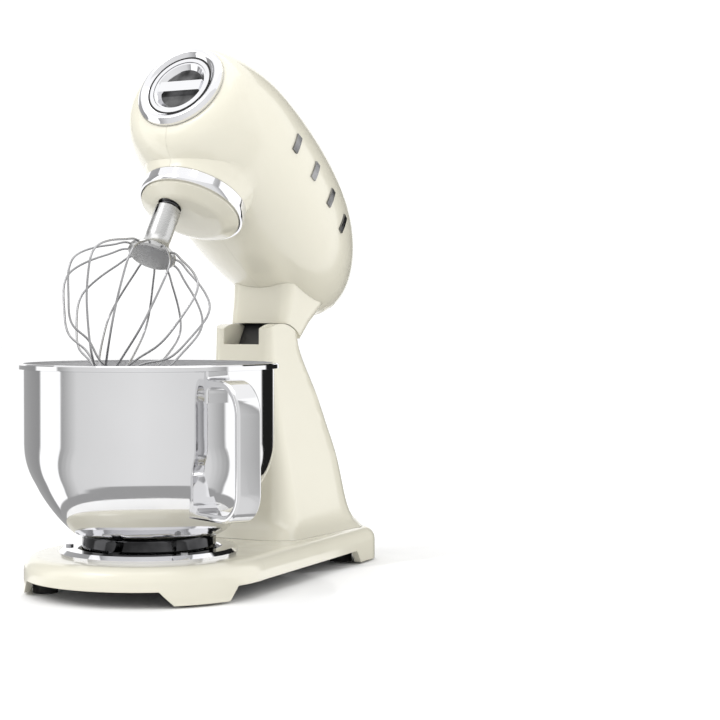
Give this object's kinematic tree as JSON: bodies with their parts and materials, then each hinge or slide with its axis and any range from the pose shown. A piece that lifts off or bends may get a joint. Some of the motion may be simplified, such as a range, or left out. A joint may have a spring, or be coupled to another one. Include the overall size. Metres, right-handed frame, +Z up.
{
  "type": "stand mixer",
  "caption": "Tilt-head stand mixer, raised head with planetary whisk over a polished steel bowl with strap handle, cream arched base and hinged column.",
  "frame": {"origin": "on the floor plane, under the centre of the bounding box, head raised", "axes": "+Z up; the front of the mixer faces -Y; the bowl's handle points towards +X and the front"},
  "size_m": [0.2426, 0.3964, 0.4462],
  "materials": {
    "cream_paint": "high gloss cream paint on die-cast aluminium",
    "polished_steel": "mirror polished stainless steel",
    "chrome": "bright chrome",
    "brushed_steel": "fine turned and brushed stainless steel",
    "machined_steel": "ground and machined steel",
    "spring_steel": "dark oiled spring wire",
    "cast_aluminium": "as-cast with machined seats",
    "rubber": "matte dark rubber",
    "dark_plastic": "fine matte grain",
    "copper": "enamelled copper winding",
    "circuit_board": "satin solder resist",
    "gear_plastic": "moulded gear nylon"
  },
  "bodies": {
    "stand": {"base_casting": "cream_paint", "base_bottom_cover": "dark_plastic", "rubber_feet": "rubber", "bottom_screws": "machined_steel", "bowl_clamp_ring": "chrome", "clamp_ring_screws": "machined_steel", "column_casting": "cream_paint", "column_bolts": "machined_steel", "hinge_pin": "machined_steel", "hinge_bushes": "gear_plastic", "latch_housing": "dark_plastic", "latch_spring": "spring_steel", "cord_gland": "dark_plastic", "control_board": "circuit_board"},
    "release_button": {"release_button": "dark_plastic"},
    "bowl": {"bowl_shell": "polished_steel", "bowl_foot": "polished_steel", "bowl_handle": "polished_steel"},
    "head": {"head_shell_left": "cream_paint", "head_shell_right": "cream_paint", "neck_collar": "cream_paint", "neck_liner": "dark_plastic", "hinge_arm": "dark_plastic", "head_screws": "machined_steel", "front_bezel": "chrome", "front_gasket": "rubber", "hub_ring": "chrome", "hub_socket": "dark_plastic", "drive_band": "chrome", "side_bars": "chrome", "rear_vent_grille": "dark_plastic", "lever_slot_trim": "chrome", "speed_board": "circuit_board", "gearbox_housing": "cast_aluminium", "ring_gear": "machined_steel", "shaft_bearings": "machined_steel", "motor_stator": "machined_steel", "field_coils": "copper", "motor_brackets": "cast_aluminium", "brush_holders": "dark_plastic"},
    "hub_cap": {"hub_cap": "chrome"},
    "speed_lever": {"speed_lever": "chrome"},
    "armature": {"armature_shaft": "machined_steel", "armature_core": "machined_steel", "armature_windings": "copper", "commutator": "copper", "cooling_fan": "dark_plastic"},
    "planet": {"planet_cover": "cream_paint", "planet_carrier": "cast_aluminium", "centre_shaft": "machined_steel", "worm_wheel": "gear_plastic"},
    "tool_drive": {"tool_shaft": "machined_steel", "tool_pinion": "machined_steel", "tool_spring": "spring_steel"},
    "whisk": {"whisk_hub": "brushed_steel", "whisk_flange": "brushed_steel", "whisk_wires": "brushed_steel"}
  },
  "joints": [
    {"name": "head_tilt", "type": "hinge", "parent": "stand", "child": "head", "pos_m": [-0.0163, 0.0668, 0.167], "axis": [-1, 0, 0], "range_deg": [-32, 0]},
    {"name": "planet_spin", "type": "hinge", "parent": "head", "child": "planet", "pos_m": [-0.0163, -0.01961, 0.33066], "axis": [0, 0.5299, 0.848], "continuous": true},
    {"name": "tool_spin", "type": "hinge", "parent": "planet", "child": "tool_drive", "pos_m": [-0.02314, -0.04614, 0.32365], "axis": [0, 0.5299, 0.848], "continuous": true},
    {"name": "armature_spin", "type": "hinge", "parent": "head", "child": "armature", "pos_m": [0.0097, 0.06943, 0.32218], "axis": [0, 0.848, -0.5299], "continuous": true},
    {"name": "whisk_release", "type": "slide", "parent": "tool_drive", "child": "whisk", "axis": [0, -0.5299, -0.848], "range_m": [0, 0.012]},
    {"name": "bowl_lift", "type": "slide", "parent": "stand", "child": "bowl", "axis": [0, 0, 1], "range_m": [0, 0.015]},
    {"name": "hub_cap_pull", "type": "slide", "parent": "head", "child": "hub_cap", "axis": [0, -0.848, 0.5299], "range_m": [0, 0.014]},
    {"name": "speed_select", "type": "hinge", "parent": "head", "child": "speed_lever", "pos_m": [-0.0163, 0.11268, 0.34704], "axis": [1, 0, 0], "range_deg": [0, 36]},
    {"name": "release_press", "type": "slide", "parent": "stand", "child": "release_button", "axis": [0, -1, 0], "range_m": [0, 0.004], "stiffness_N_per_m": 400, "springref_m": -0.002, "deforming": ["latch_spring"]}
  ],
  "couplings": [
    {"joint": "tool_spin", "follows": "planet_spin", "ratio": -3},
    {"joint": "armature_spin", "follows": "planet_spin", "ratio": -12}
  ]
}
